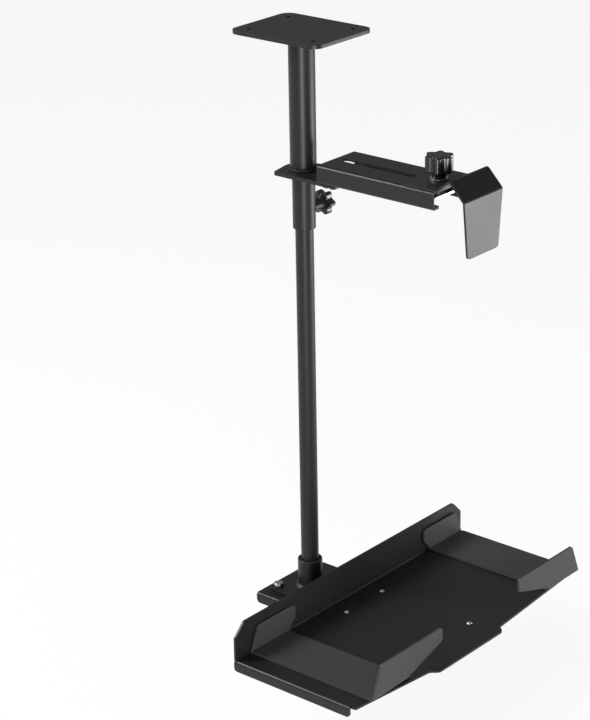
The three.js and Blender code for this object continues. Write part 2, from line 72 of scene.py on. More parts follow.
def mid(node):
    return (BOX[node][0] + BOX[node][1]) / 2


# ------------------------------------------------------------------ shader maths
class Value:
    """A shader socket that can be used in sums, differences and products."""

    def __init__(self, finish, socket):
        self.finish = finish
        self.socket = socket

    def _math(self, operation, a, b):
        return self.finish.node("ShaderNodeMath", {"operation": operation}, {0: a, 1: b})

    def __add__(self, other):
        return self._math("ADD", self, other)

    __radd__ = __add__

    def __sub__(self, other):
        return self._math("SUBTRACT", self, other)

    def __mul__(self, other):
        return self._math("MULTIPLY", self, other)

    __rmul__ = __mul__


class Finish:
    """A material on the object's own coordinates."""

    def __init__(self, name, color, roughness, **constants):
        self.material = bpy.data.materials.new(name)
        self.material.use_nodes = True
        self.tree = self.material.node_tree
        self.shader = self.tree.nodes["Principled BSDF"]
        self.shader.inputs["Base Color"].default_value = (*color, 1)
        self.shader.inputs["Roughness"].default_value = roughness
        for socket, value in constants.items():
            self.shader.inputs[socket.replace("_", " ")].default_value = value
        self.place = self.node("ShaderNodeTexCoord", out="Object")

    def node(self, kind, settings=None, inputs=None, out=0):
        made = self.tree.nodes.new(kind)
        for key, value in (settings or {}).items():
            setattr(made, key, value)
        for key, value in (inputs or {}).items():
            if isinstance(value, Value):
                self.tree.links.new(value.socket, made.inputs[key])
            elif value is not None:
                made.inputs[key].default_value = value
        return Value(self, made.outputs[out])

    def noise(self, scale, detail=2.0, roughness=0.5):
        inputs = {"Vector": self.place, "Scale": scale, "Detail": detail, "Roughness": roughness}
        return self.node("ShaderNodeTexNoise", inputs=inputs)

    def band(self, value, start, end):
        inputs = {"Value": value, "From Min": start, "From Max": end}
        return self.node("ShaderNodeMapRange", {"interpolation_type": "SMOOTHSTEP"}, inputs)

    def attribute(self, name):
        return self.node("ShaderNodeAttribute", {"attribute_name": name}, out="Fac")

    def mix(self, factor, a, b):
        a, b = ((*tone, 1) if isinstance(tone, tuple) else tone for tone in (a, b))
        return self.node("ShaderNodeMix", {"data_type": "RGBA"}, {0: factor, 6: a, 7: b}, out=2)

    def bump(self, height, strength, distance):
        inputs = {"Height": height, "Strength": strength, "Distance": distance}
        return self.node("ShaderNodeBump", inputs=inputs)

    def feed(self, **links):
        for socket, value in links.items():
            self.tree.links.new(value.socket, self.shader.inputs[socket.replace("_", " ")])
        return self.material


def powder_coat(name, color, lifted, worn, roughness):
    """Satin powder coat: a fine pebbled skin, cloudy sheen, and thin coat rubbed lighter on the edges."""
    coat = Finish(name, color, roughness, IOR=1.36)
    cloud = coat.noise(14, 3)
    pebble = coat.noise(1500, 2, 0.6)
    speck = coat.band(coat.noise(2600, 1), 0.66, 0.76)
    scuff = coat.band(coat.noise(420, 4, 0.7), 0.5, 0.72)
    edge = coat.attribute("edge") * coat.band(coat.noise(90, 3), 0.25, 0.65)
    tone = coat.mix(cloud, color, lifted)
    tone = coat.mix(speck * 0.35, tone, worn)
    tone = coat.mix(edge * (0.25 + 0.5 * scuff), tone, worn)
    shine = roughness - 0.05 + cloud * 0.1 + pebble * 0.06 - edge * 0.08
    return coat.feed(Base_Color=tone, Roughness=shine, Normal=coat.bump(pebble, 0.35, 0.00012))


def zinc_plate():
    """Bright zinc plating with a faint crystalline cloud and fine turning marks."""
    zinc = Finish("zinc_plate", (0.56, 0.56, 0.57), 0.3, Metallic=1.0)
    cloud = zinc.noise(260, 4, 0.65)
    grain = zinc.noise(3200, 2)
    tone = zinc.mix(cloud, (0.44, 0.45, 0.47), (0.66, 0.66, 0.65))
    shine = 0.24 + cloud * 0.16 + grain * 0.06
    return zinc.feed(Base_Color=tone, Roughness=shine, Normal=zinc.bump(grain, 0.15, 0.00005))


def moulded_plastic(name, color, roughness, texture):
    """Black moulding: a faint flow cloud, and either a polished or a lightly sparked skin."""
    plastic = Finish(name, color, roughness, IOR=1.48)
    flow = plastic.noise(45, 3)
    skin = plastic.noise(1900, 2)
    tone = plastic.mix(flow, color, tuple(c * 1.7 for c in color))
    shine = roughness - 0.03 + flow * 0.08
    return plastic.feed(Base_Color=tone, Roughness=shine, Normal=plastic.bump(skin, texture, 0.00008))


def closed_cell_foam():
    """Matt black foam with a pattern of small open cells."""
    foam = Finish("foam_black", (0.02, 0.02, 0.02), 0.95)
    cells = foam.node("ShaderNodeTexVoronoi", inputs={"Vector": foam.place, "Scale": 900.0})
    cloud = foam.noise(70, 3)
    tone = foam.mix(cloud, (0.014, 0.014, 0.014), (0.032, 0.032, 0.031))
    return foam.feed(Base_Color=tone, Normal=foam.bump(cells, 0.6, 0.0002))


def floor_finish():
    """Pale diffuse floor, with a glow of its own to the camera and in reflections, so that it stays white."""
    pale = Finish("floor_pale", (0.86, 0.86, 0.86), 0.9)
    path = pale.tree.nodes.new("ShaderNodeLightPath")
    rays = [Value(pale, path.outputs[f"Is {ray} Ray"]) for ray in ("Camera", "Glossy", "Transmission")]
    seen = rays[0] + rays[1] + rays[2]
    glow = pale.tree.nodes.new("ShaderNodeEmission")
    glow.inputs["Color"].default_value = (1, 1, 1, 1)
    shaders = pale.tree.nodes.new("ShaderNodeMixShader")
    pale.tree.links.new((seen * FLOOR_GLOW).socket, shaders.inputs[0])
    pale.tree.links.new(pale.shader.outputs[0], shaders.inputs[1])
    pale.tree.links.new(glow.outputs[0], shaders.inputs[2])
    pale.tree.links.new(shaders.outputs[0], pale.tree.nodes["Material Output"].inputs["Surface"])
    return pale.material


FLOOR_BELOW = 0.075                   # from the cross channel down to the floor
# each lamp's name, place, width and power in watts
LAMPS = (("key", (-1.2, -1.0, 0.95), 0.8, 46), ("front", (1.15, -1.35, -0.4), 0.5, 20),
         ("side", (1.05, 0.95, -0.75), 0.8, 22), ("top", (0.3, 0.3, 2.2), 1.6, 5))
FLOOR_GLOW = 0.9                      # share of the floor's own glow in what the camera sees of it
SKY_LIGHT, SKY_SEEN = 0.22, 0.9       # the sky's strength on the object, and to the camera
BLACK = powder_coat("coat_black", (0.0095, 0.0095, 0.01), (0.0135, 0.0135, 0.0145), (0.07, 0.07, 0.072),
                    0.35)
GREY = powder_coat("coat_grey", (0.036, 0.036, 0.038), (0.046, 0.046, 0.048), (0.13, 0.13, 0.133), 0.44)
ZINC = zinc_plate()
NYLON = moulded_plastic("nylon_black", (0.014, 0.014, 0.015), 0.5, 0.3)
GLOSS = moulded_plastic("knob_gloss", (0.008, 0.008, 0.009), 0.17, 0.03)
FOAM = closed_cell_foam()
SLOT_FINISH = {"black_steel": BLACK, "grey_steel": GREY, "zinc": ZINC, "nylon": NYLON, "gloss_black": GLOSS,
               "foam": FOAM}
NODE_SLOT = {part["node"]: part["material_slot"] for part in frame["record"]["subparts"]}


# ------------------------------------------------------------------ making pieces
def evaluated(bm, modifiers):
    """The mesh of a bmesh after the given modifiers, each a (type, settings) pair."""
    mesh = bpy.data.meshes.new("work")
    bm.to_mesh(mesh)
    bm.free()
    holder = bpy.data.objects.new("work", mesh)
    bpy.context.scene.collection.objects.link(holder)
    for kind, settings in modifiers:
        modifier = holder.modifiers.new(kind, kind)
        for key, value in settings.items():
            setattr(modifier, key, value)
    graph = bpy.context.evaluated_depsgraph_get()
    made = bmesh.new()
    made.from_mesh(bpy.data.meshes.new_from_object(holder.evaluated_get(graph)))
    bpy.data.objects.remove(holder)
    bpy.data.meshes.remove(mesh)
    return made


def cutter(bm):
    """A scratch object for a Boolean modifier, which combined or cut_out removes again."""
    mesh = bpy.data.meshes.new("cutter")
    bm.to_mesh(mesh)
    bm.free()
    made = bpy.data.objects.new("cutter", mesh)
    bpy.context.scene.collection.objects.link(made)
    return made


def cut_out(bm, cutters):
    """bm less each of the cutters, which are removed afterwards."""
    steps = [("BOOLEAN", {"object": tool, "operation": "DIFFERENCE", "solver": "EXACT"}) for tool in cutters]
    made = evaluated(bm, steps)
    for tool in cutters:
        bpy.data.objects.remove(tool)
    return made


def combined(bm, operation, other):
    """The union or the intersection of two bmeshes."""
    tool = cutter(other)
    made = evaluated(bm, [("BOOLEAN", {"object": tool, "operation": operation, "solver": "EXACT"})])
    bpy.data.objects.remove(tool)
    return made


def thicken(bm, thickness=SHEET):
    """A mid-surface given its thickness, half to each side."""
    return evaluated(bm, [("SOLIDIFY", {"thickness": thickness, "offset": 0, "use_even_offset": True})])


def sharp_edges(bm, angle):
    return [e for e in bm.edges if e.is_manifold and e.calc_face_angle(0) > angle]


def bevel(bm, geom, width, steps, affect="EDGES", clamp=True):
    """Rounds edges or corners, and gives back the new faces."""
    return bmesh.ops.bevel(bm, geom=geom, offset=width, offset_type="OFFSET", segments=steps, profile=0.5,
                           affect=affect, clamp_overlap=clamp, material=-1)["faces"]


def soften(bm, width=ARRIS, steps=2, mark=True):
    """Rounds the sharp edges and marks the rounded faces, where the coat is rubbed."""
    layer = bm.faces.layers.float.get("edge") or bm.faces.layers.float.new("edge")
    for face in bevel(bm, sharp_edges(bm, 0.6), width, steps):
        if mark:
            face[layer] = 1.0
    return bm


def shade_flats(made):
    """Gives large faces their own flat shading up to the rounded edges around them."""
    modifier = made.modifiers.new("shading", "WEIGHTED_NORMAL")
    modifier.keep_sharp = True
    modifier.weight = 100
    graph = bpy.context.evaluated_depsgraph_get()
    plain, name = made.data, made.data.name
    made.data = bpy.data.meshes.new_from_object(made.evaluated_get(graph))
    made.modifiers.clear()
    bpy.data.meshes.remove(plain)
    made.data.name = name


def settle(name, bm, node, stands_for=True, shade_angle=0.7):
    """Turns a bmesh into a finished piece that rides with the node's body."""
    bmesh.ops.remove_doubles(bm, verts=bm.verts, dist=MERGE)
    bmesh.ops.recalc_face_normals(bm, faces=bm.faces)
    for face in bm.faces:
        face.smooth = True
    for edge in bm.edges:
        edge.smooth = edge.is_manifold and edge.calc_face_angle(0) < shade_angle
    mesh = bpy.data.meshes.new(name)
    bm.to_mesh(mesh)
    bm.free()
    made = bpy.data.objects.new(name, mesh)
    bpy.context.scene.collection.objects.link(made)
    shade_flats(made)
    made.data.materials.append(SLOT_FINISH[NODE_SLOT[node]])
    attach(made, BODY_OF[node])
    if stands_for:
        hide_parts(node)
    return made


def new_verts(made):
    """The vertices among what an extrusion made."""
    return [item for item in made["geom"] if isinstance(item, bmesh.types.BMVert)]


def raised(bm, step):
    """A flat outline's faces drawn out into a solid."""
    rise = bmesh.ops.extrude_face_region(bm, geom=bm.faces[:])
    bmesh.ops.translate(bm, verts=new_verts(rise), vec=step)
    return bm


def cylinder(radius, depth, centre, sides):
    """Upright cylinder about its centre."""
    bm = bmesh.new()
    bmesh.ops.create_cone(bm, cap_ends=True, segments=sides, radius1=radius, radius2=radius, depth=depth,
                          matrix=Matrix.Translation(centre))
    return bm


def block(size, centre=(0, 0, 0)):
    bm = bmesh.new()
    bmesh.ops.create_cube(bm, size=1)
    bmesh.ops.scale(bm, verts=bm.verts, vec=size)
    bmesh.ops.translate(bm, verts=bm.verts, vec=centre)
    return bm


def plate(size, corner, centre, thickness):
    """Flat plate with rounded corners."""
    bm = bmesh.new()
    bmesh.ops.create_grid(bm, x_segments=1, y_segments=1, size=0.5)
    bmesh.ops.scale(bm, verts=bm.verts, vec=(size.x, size.y, 1))
    round_corner(bm, [(sx * size.x / 2, sy * size.y / 2, 0) for sx in (-1, 1) for sy in (-1, 1)], corner)
    bmesh.ops.translate(bm, verts=bm.verts, vec=centre)
    return thicken(bm, thickness)


def slot_tools(start, end, width, y, z):
    """Cutters for a slot along X, given by the centres of its round ends."""
    tools = [cutter(cylinder(width / 2, SLOT_DEPTH, (x, y, z), 48)) for x in (start, end)]
    return tools + [cutter(block((end - start, width, SLOT_DEPTH), ((start + end) / 2, y, z)))]


def turned(profile, sides, closed=True):
    """Spins [radius, height] points about Z. An open profile starts and ends on the axis."""
    bm = bmesh.new()
    verts = [bm.verts.new((r, 0, z)) for r, z in profile]
    edges = [bm.edges.new(pair) for pair in zip(verts, verts[1:])]
    if closed:
        edges.append(bm.edges.new((verts[-1], verts[0])))
    bmesh.ops.spin(bm, geom=verts + edges, cent=(0, 0, 0), axis=(0, 0, 1), angle=2 * math.pi, steps=sides,
                   use_merge=True)
    bmesh.ops.remove_doubles(bm, verts=bm.verts, dist=MERGE)
    bmesh.ops.recalc_face_normals(bm, faces=bm.faces)
    return bm


def ring_profile(inner, outer, low, high):
    return [(inner, low), (outer, low), (outer, high), (inner, high)]


def moved(bm, place, axis="Z"):
    """Turns a piece made about Z to another axis, and moves it to its place."""
    turn = {"Z": Matrix.Identity(4), "-Z": Matrix.Rotation(math.pi, 4, "X"),
            "Y": Matrix.Rotation(-math.pi / 2, 4, "X")}[axis]
    bmesh.ops.transform(bm, matrix=Matrix.Translation(place) @ turn, verts=bm.verts)
    return bm


def joined(*parts):
    """Puts several bmeshes into one."""
    whole = bmesh.new()
    for part in parts:
        mesh = bpy.data.meshes.new("part")
        part.to_mesh(mesh)
        part.free()
        whole.from_mesh(mesh)
        bpy.data.meshes.remove(mesh)
    return whole


def from_node(node):
    """A clean copy of a node's own solid, with its flat faces whole again."""
    bm = bmesh.new()
    bm.from_mesh(bpy.data.objects[node].data)
    bmesh.ops.remove_doubles(bm, verts=bm.verts, dist=MERGE)
    bmesh.ops.dissolve_limit(bm, angle_limit=0.02, verts=bm.verts, edges=bm.edges)
    return bm


# ------------------------------------------------------------------ folded sheet
def rounded_fold(bm, edges, radius):
    """Rounds fold lines of a mid-surface to a mid-line radius; the reach follows from the fold's angle."""
    for edge in edges:
        if edge.is_valid:
            reach = radius * math.tan(edge.calc_face_angle() / 2)
            bevel(bm, [edge], reach, FOLD_STEPS, clamp=False)


def folded_strip(corners, along, start, end, bend):
    """Mid-surface of a strip: its corner points run across it, and it is swept along one axis."""
    bm = bmesh.new()
    index = "XYZ".index(along)

    def place(pair):
        point = list(pair)
        point.insert(index, start)
        return point

    verts = [bm.verts.new(place(pair)) for pair in corners]
    edges = [bm.edges.new(pair) for pair in zip(verts, verts[1:])]
    swept = bmesh.ops.extrude_edge_only(bm, edges=edges)
    step = Vector((0, 0, 0))
    step[index] = end - start
    bmesh.ops.translate(bm, verts=new_verts(swept), vec=step)
    folds = [e for e in bm.edges if len(e.link_faces) == 2]
    rounded_fold(bm, folds, bend + SHEET / 2)
    return bm


def trim(bm, point, normal, where=None):
    """Cuts off what lies beyond a plane, on the faces that `where` picks."""
    faces = [f for f in bm.faces if where is None or where(f.calc_center_median())]
    geom = list({item for f in faces for item in (*f.verts, *f.edges, f)})
    bmesh.ops.bisect_plane(bm, geom=geom, plane_co=point, plane_no=normal)
    normal = Vector(normal).normalized()
    beyond = [f for f in bm.faces if (where is None or where(f.calc_center_median()))
              and (f.calc_center_median() - Vector(point)).dot(normal) > 1e-7]
    bmesh.ops.delete(bm, geom=beyond, context="FACES")
    return bm


def round_corner(bm, spots, radius, steps=8):
    """Rounds the outline's corner vertices nearest to the given spots."""
    for spot in spots:
        outline = [v for v in bm.verts if v.is_boundary]
        corner = min(outline, key=lambda v: (v.co - Vector(spot)).length)
        bevel(bm, [corner], radius, steps, affect="VERTICES")
    return bm


# ------------------------------------------------------------------ small parts
def weld_bead(name, node, centre, radius, size, up=1):
    """A rippled fillet weld round a tube, laid on the flat face at `centre`."""
    ripples = 46
    depth = 0.06 * size
    section = [(-0.2, 0), (1, 0), (0.72, 0.42), (0.3, 0.82), (-0.2, 1.05)]
    bm = turned([(radius + size * out, up * size * rise) for out, rise in section], 4 * ripples)
    for v in bm.verts:
        around = math.atan2(v.co.y, v.co.x)
        if abs(v.co.z) > MERGE:
            v.co += Vector((v.co.x, v.co.y, 0)).normalized() * depth * math.cos(ripples * around)
    return settle(name, moved(bm, centre), node, stands_for=False)


def rivet(name, node):
    """Domed rivet with a head on each side."""
    low, high, centre = lo(node), hi(node), mid(node)
    head = (high.x - low.x) / 2
    shank, crown = head * 0.57, head * 0.42
    arc = [(head * math.cos(a), crown * math.sin(a)) for a in (0, 0.4, 0.8, 1.15, math.pi / 2)]
    top = [(r, high.z - crown + z) for r, z in arc]
    bottom = [(r, low.z + crown - z) for r, z in reversed(arc)]
    bottom[0] = (0, low.z)
    top[-1] = (0, high.z)
    bm = turned(bottom + [(shank, low.z + crown), (shank, high.z - crown)] + top, 36, closed=False)
    return settle(name, moved(bm, (centre.x, centre.y, 0)), node)


def hex_prism(flats, low, high, chamfer_low, chamfer_high):
    """Hexagonal head or nut with chamfered corners."""
    radius, middle = flats / math.sqrt(3), (low + high) / 2
    bm = cylinder(radius, high - low, (0, 0, middle), 6)
    round_blank = cylinder(radius * 1.01, high - low, (0, 0, middle), 48)
    rims = [e for e in sharp_edges(round_blank, 1)
            if (chamfer_high if e.verts[0].co.z > middle else chamfer_low)]
    bevel(round_blank, rims, flats * 0.09, 1)
    return combined(bm, "INTERSECT", round_blank)


def thread(radius, low, high, pitch=0.001):
    """Ringed profile of a threaded shank, closed on the axis."""
    depth = pitch * 0.35
    points = [(0, low), (radius - 2 * depth, low)]
    z = low + pitch / 2
    while z < high - pitch:
        points += [(radius, z), (radius - depth, z + pitch / 2)]
        z += pitch
    return turned(points + [(radius, high), (0, high)], 32, closed=False)


HEX_FLATS = 0.010         # across the flats of the bolts' heads and the nuts
BORE_RADIUS = 0.0033      # clearance bores of the nuts and of the width knob's washer
THROUGH = 0.02            # length of a cutter that goes right through


def hex_bolt(name, node):
    low, high, centre = lo(node), hi(node), mid(node)
    head, shank_radius, overlap = 0.004, 0.003, 0.0005
    top = hex_prism(HEX_FLATS, high.z - head, high.z, False, True)
    bm = joined(soften(top, 0.0002, mark=False), thread(shank_radius, low.z, high.z - head + overlap))
    return settle(name, moved(bm, (centre.x, centre.y, 0)), node, shade_angle=0.5)


def hex_nut(name, node):
    low, high, centre = lo(node), hi(node), mid(node)
    bore = cutter(cylinder(BORE_RADIUS, THROUGH, (0, 0, centre.z), 40))
    bm = soften(cut_out(hex_prism(HEX_FLATS, low.z, high.z, True, True), [bore]), 0.0002, mark=False)
    return settle(name, moved(bm, (centre.x, centre.y, 0)), node, shade_angle=0.5)


def star_knob(name, node, axis, lobes=6):
    """Lobed grip with a rounded rim, a sunk round cap in its face, and a stepped hub."""
    low, high = BOX[node]
    along = {"Z": 2, "-Z": 2, "Y": 1}[axis]
    length = high[along] - low[along]
    across = [i for i in range(3) if i != along]
    radius = max(high[i] - low[i] for i in across) / 2
    large = radius > 0.015
    depth = 0.0021 if large else 0.0019
    hub_r, hub_h = (0.0075, 0.006) if large else (0.0065, 0.004)
    grip_h = length - hub_h
    bm = bmesh.new()
    ring = bmesh.ops.create_circle(bm, cap_ends=True, segments=lobes * 24, radius=radius)["verts"]
    for v in ring:
        angle = math.atan2(v.co.y, v.co.x)
        v.co *= 1 - (depth - depth * math.cos(lobes * angle)) / radius
    raised(bm, (0, 0, grip_h))
    bevel(bm, sharp_edges(bm, 1), 0.0016, 5)
    cap_r, groove_w, groove_deep = radius * 0.44, 0.0009, 0.0008
    groove = turned(ring_profile(cap_r, cap_r + groove_w, grip_h - groove_deep, grip_h + 0.001), 64)
    bm = cut_out(bm, [cutter(groove)])
    chamfer, flare, overlap = 0.0006, 0.001, 0.0005
    hub = turned([(0, -hub_h), (hub_r - chamfer, -hub_h), (hub_r, -hub_h + chamfer), (hub_r, -hub_h * 0.35),
                  (hub_r + flare, overlap), (0, overlap)], 48, closed=False)
    bm = joined(bm, hub)
    spot = mid(node.replace("knob", "stud"))
    spot[along] = high[along] - hub_h if axis == "-Z" else low[along] + hub_h
    return settle(name, moved(bm, spot, axis), node, shade_angle=0.9)


# ------------------------------------------------------------------ desk plate and post
def make_desk_plate():
    """Plate with rounded corners and a screw hole in each."""
    low, high = BOX["desk_plate"]
    corner, edge, hole = 0.012, 0.016, 0.00275
    bm = plate(high - low, corner, mid("desk_plate"), high.z - low.z)
    tools = []
    for sx in (-1, 1):
        for sy in (-1, 1):
            spot = (sx * (high.x - edge), sy * (high.y - edge), low.z + 0.001)
            tools.append(cutter(cylinder(hole, THROUGH, spot, 40)))
    settle("desk_mounting_plate", soften(cut_out(bm, tools), 0.0005), "desk_plate")


def tube(node, bore):
    """Plain tube or ring of a node's height and outer radius, standing on the mast's axis."""
    low, high = BOX[node]
    return turned(ring_profile(bore, high.x, low.z, high.z), TUBE_SIDES)


def make_tubes():
    """Post with an inturned lip at its foot, the mast, and what runs between the two."""
    low, high = BOX["outer_post"]
    radius, post_wall, lip = high.x, 0.0016, 0.003
    inside = radius - post_wall
    post = turned([(SLIDING_BORE, low.z), (radius, low.z), (radius, high.z), (inside, high.z),
                   (inside, low.z + lip), (SLIDING_BORE, low.z + lip)], TUBE_SIDES)
    settle("post_tube", soften(post, 0.0005, 3, mark=False), "outer_post")
    mast = tube("mast_tube", hi("mast_tube").x - SHEET)
    settle("mast_inner_tube", soften(mast, 0.0004, mark=False), "mast_tube")
    settle("clamp_guide_sleeve", soften(tube("clamp_sleeve", SLIDING_BORE), 0.0006, 3), "clamp_sleeve")
    washer = soften(tube("swivel_washer", SLIDING_BORE), 0.0005, 3, mark=False)
    settle("swivel_bearing", washer, "swivel_washer")
    low, high = BOX["post_weld"]
    bead = weld_bead("post_top_weld", "post_weld", (0, 0, high.z), radius + GAP, high.x - radius - GAP, -1)
    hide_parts("post_weld")


# ------------------------------------------------------------------ upper clamp
def make_collar():
    settle("collar_bracket", soften(from_node("collar_plate"), 0.0006, 3), "collar_plate")
    settle("lock_screw_boss", soften(from_node("lock_boss"), 0.0005), "lock_boss")
    under = lo("collar_plate").z
    weld_bead("sleeve_weld", "clamp_sleeve", (0, 0, under), hi("clamp_sleeve").x, 0.0026, -1)


def make_channel():
    """Channel, open downwards between two inward lips, with the long slot in its top."""
    low, high = BOX["top_channel"]
    half = SHEET / 2
    lip, lip_corner = 0.013, 0.004
    slot_width, slot_from_left, slot_from_right = 0.009, 0.009, 0.008
    y, z0, z1 = high.y - half, low.z + half, high.z - half
    lip_y = high.y - lip
    across = [(-lip_y, z0), (-y, z0), (-y, z1), (y, z1), (y, z0), (lip_y, z0)]
    bm = folded_strip(across, "X", low.x, high.x, TIGHT_BEND)
    round_corner(bm, [(x, side * lip_y, z0) for x in (low.x, high.x) for side in (-1, 1)], lip_corner)
    start = low.x + slot_from_left + slot_width / 2
    end = high.x - slot_from_right - slot_width / 2
    bm = cut_out(thicken(bm), slot_tools(start, end, slot_width, 0, high.z))
    settle("clamp_channel", soften(bm), "top_channel")


def make_arm():
    """Flat plate on the channel, then a rise, a slope and the tapered flange that hangs down."""
    low, high = BOX["hook_arm"]
    half = SHEET / 2
    run, rise, slope, drop = 0.0165, 0.0135, 0.0182, 0.019
    taper, flange_corner, plate_corner = 0.0065, 0.004, 0.003
    above_taper = 0.004
    flange_x = high.x - half
    fold_x = flange_x - slope - run
    z = hi("top_channel").z + GAP + half
    flange_z = z + rise - drop
    corners = [(low.x, z), (fold_x, z), (fold_x + run, z + rise), (flange_x, flange_z), (flange_x, low.z)]
    bm = folded_strip(corners, "Y", low.y, high.y, SOFT_BEND)
    tall = flange_z - low.z
    for side, y in ((-1, low.y), (1, high.y)):
        trim(bm, (flange_x, y, flange_z), (0, side * tall, -taper), lambda c: c.z < flange_z - above_taper)
    round_corner(bm, [(flange_x, low.y + taper, low.z), (flange_x, high.y - taper, low.z)], flange_corner)
    round_corner(bm, [(low.x, low.y, z), (low.x, high.y, z)], plate_corner)
    settle("hooked_arm", soften(thicken(bm)), "hook_arm")


def make_pad():
    """Foam pad in the hook, whose face curves back towards its rim."""
    low, high = BOX["hook_pad"]
    size = high - low
    corner, fall, rings, ring_width = 0.003, 0.0009, 3, 0.0012
    bm = block(size)
    across = [e for e in bm.edges if abs((e.verts[0].co - e.verts[1].co).normalized().x) > 0.9]
    bevel(bm, across, corner, 6)
    face = [f for f in bm.faces if f.normal.x < -0.9]
    for _ in range(rings):
        bmesh.ops.inset_region(bm, faces=face, thickness=ring_width, use_even_offset=True)
    for v in bm.verts:
        if v.co.x < 0:
            rim = min(size.y / 2 - abs(v.co.y), size.z / 2 - abs(v.co.z))
            v.co.x += fall * max(0.0, 1 - rim / (rings * ring_width)) ** 2
    bmesh.ops.translate(bm, verts=bm.verts, vec=mid("hook_pad"))
    piece = settle("hook_foam_pad", bm, "hook_pad")


def steel_ring(name, node, bore, sides, arris):
    """Turned washer or round nut, standing where its node does."""
    low, high, centre = lo(node), hi(node), mid(node)
    bm = turned(ring_profile(bore, (high.x - low.x) / 2, low.z, high.z), sides)
    return settle(name, moved(soften(bm, arris, mark=False), (centre.x, centre.y, 0)), node)


def make_slide():
    """Plate that slides inside the channel, the width knob's washer, and the four threaded studs."""
    settle("slide_clamp_plate", soften(from_node("slide_plate"), 0.0003, mark=False), "slide_plate")
    steel_ring("knob_steel_washer", "knob_washer", BORE_RADIUS, 64, 0.0003)
    for node in ("width_stud", "cradle_stud_front", "cradle_stud_rear"):
        low, high, centre = lo(node), hi(node), mid(node)
        rod = thread((high.x - low.x) / 2, low.z, high.z)
        settle(node + "_threaded", moved(rod, (centre.x, centre.y, 0)), node, shade_angle=0.5)
    low, high, centre = lo("height_stud"), hi("height_stud"), mid("height_stud")
    rod = thread((high.x - low.x) / 2, low.y, high.y)
    settle("height_stud_threaded", moved(rod, (centre.x, 0, centre.z), "Y"), "height_stud", shade_angle=0.5)


# ------------------------------------------------------------------ tray
def outline_plate(points, low, high):
    """Upright prism over [x, y, corner radius] points."""
    bm = bmesh.new()
    verts = [bm.verts.new((x, y, low)) for x, y, _ in points]
    edges = [bm.edges.new((a, b)) for a, b in zip(verts, verts[1:] + verts[:1])]
    bmesh.ops.contextual_create(bm, geom=verts + edges)
    for x, y, radius in points:
        if radius:
            round_corner(bm, [(x, y, low)], radius)
    raised(bm, (0, 0, high - low))
    bmesh.ops.recalc_face_normals(bm, faces=bm.faces)
    return bm


def corner_waste(x, z, y0, y1, radius, beyond, steps=8):
    """What rounding takes off a lower right corner at (x, z), as a prism along Y."""
    arc = [(x - radius + radius * math.sin(a), z + radius - radius * math.cos(a))
           for a in (math.pi / 2 * i / steps for i in range(steps + 1))]
    outline = arc + [(x + beyond, z + radius), (x + beyond, z - beyond), (x - radius, z - beyond)]
    bm = bmesh.new()
    bm.faces.new([bm.verts.new((px, y0, pz)) for px, pz in outline])
    raised(bm, (0, y1 - y0, 0))
    bmesh.ops.recalc_face_normals(bm, faces=bm.faces[:])
    return bm


def make_tray():
    """Shelf with its lips and side wall, whose free edge swells to a tab in the middle."""
    low, high = BOX["shelf_tray"]
    half = SHEET / 2
    lip, lip_corner, lip_short, lip_left = 0.012, 0.004, 0.006, low.x + 0.0005
    reach = TIGHT_BEND + SHEET
    swell, tab_out, shoulder, tab_front, tab_rear = 0.0125, 0.0085, 0.007, -0.072, 0.056
    slot_width, slot_travel = 0.011, 0.040
    z = low.z + lip - half
    neck = high.x - tab_out
    free = neck - swell
    lip_right = free - lip_short
    front, rear = low.y + half, high.y - half

    across = [(front, low.z), (front, z), (rear, z), (rear, low.z)]
    shelf = folded_strip(across, "X", lip_left, high.x, TIGHT_BEND)
    trim(shelf, (low.x + reach, 0, 0), (-1, 0, 0), lambda c: low.y + reach < c.y < high.y - reach)
    for y in (front, rear):
        round_corner(shelf, [(lip_left, y, low.z)], lip_corner)
    shelf = thicken(shelf)
    flat_front, flat_rear, beyond = low.y + reach, high.y - reach, 0.001
    front_end, rear_end, left_end = low.y - beyond, high.y + beyond, low.x - beyond
    plan = [(left_end, front_end, 0), (lip_right, front_end, 0), (lip_right, flat_front, 0),
            (free, flat_front, 0.0025), (neck, tab_front, 0.002), (high.x, tab_front + shoulder, 0.003),
            (high.x, tab_rear - shoulder, 0.003), (neck, tab_rear, 0.002), (free, flat_rear, 0.0025),
            (lip_right, flat_rear, 0), (lip_right, rear_end, 0), (left_end, rear_end, 0)]
    shelf = combined(shelf, "INTERSECT", outline_plate(plan, low.z - beyond, high.z))
    shelf = cut_out(shelf, [cutter(corner_waste(lip_right, low.z, y0, y1, lip_corner, beyond))
                            for y0, y1 in ((front_end, flat_front), (flat_rear, rear_end))])

    left, chamfer, inset = low.x + half, 0.0152, 0.001
    across = [(left, high.z), (left, z), (low.x + reach + beyond, z)]
    wall = folded_strip(across, "Y", low.y + inset, high.y - inset, TIGHT_BEND)
    for edge, away in ((flat_front, -1), (flat_rear, 1)):
        trim(wall, (0, edge, 0), (0, away, 0), lambda c: c.x > low.x + reach - MERGE)
    ends = ((low.y + inset, 1), (high.y - inset, -1))
    round_corner(wall, [(left, y, high.z) for y, _ in ends], chamfer, 1)
    round_corner(wall, [(left, y + way * dy, high.z - dz) for y, way in ends
                        for dy, dz in ((0, chamfer), (chamfer, 0))], 0.002, 5)
    shelf = combined(shelf, "UNION", thicken(wall))

    tools = []
    for node in ("cradle_nut_front", "cradle_nut_rear"):
        nut = mid(node)
        tools += slot_tools(nut.x, nut.x + slot_travel, slot_width, nut.y, z)
    settle("tray_shelf", soften(cut_out(shelf, tools)), "shelf_tray")


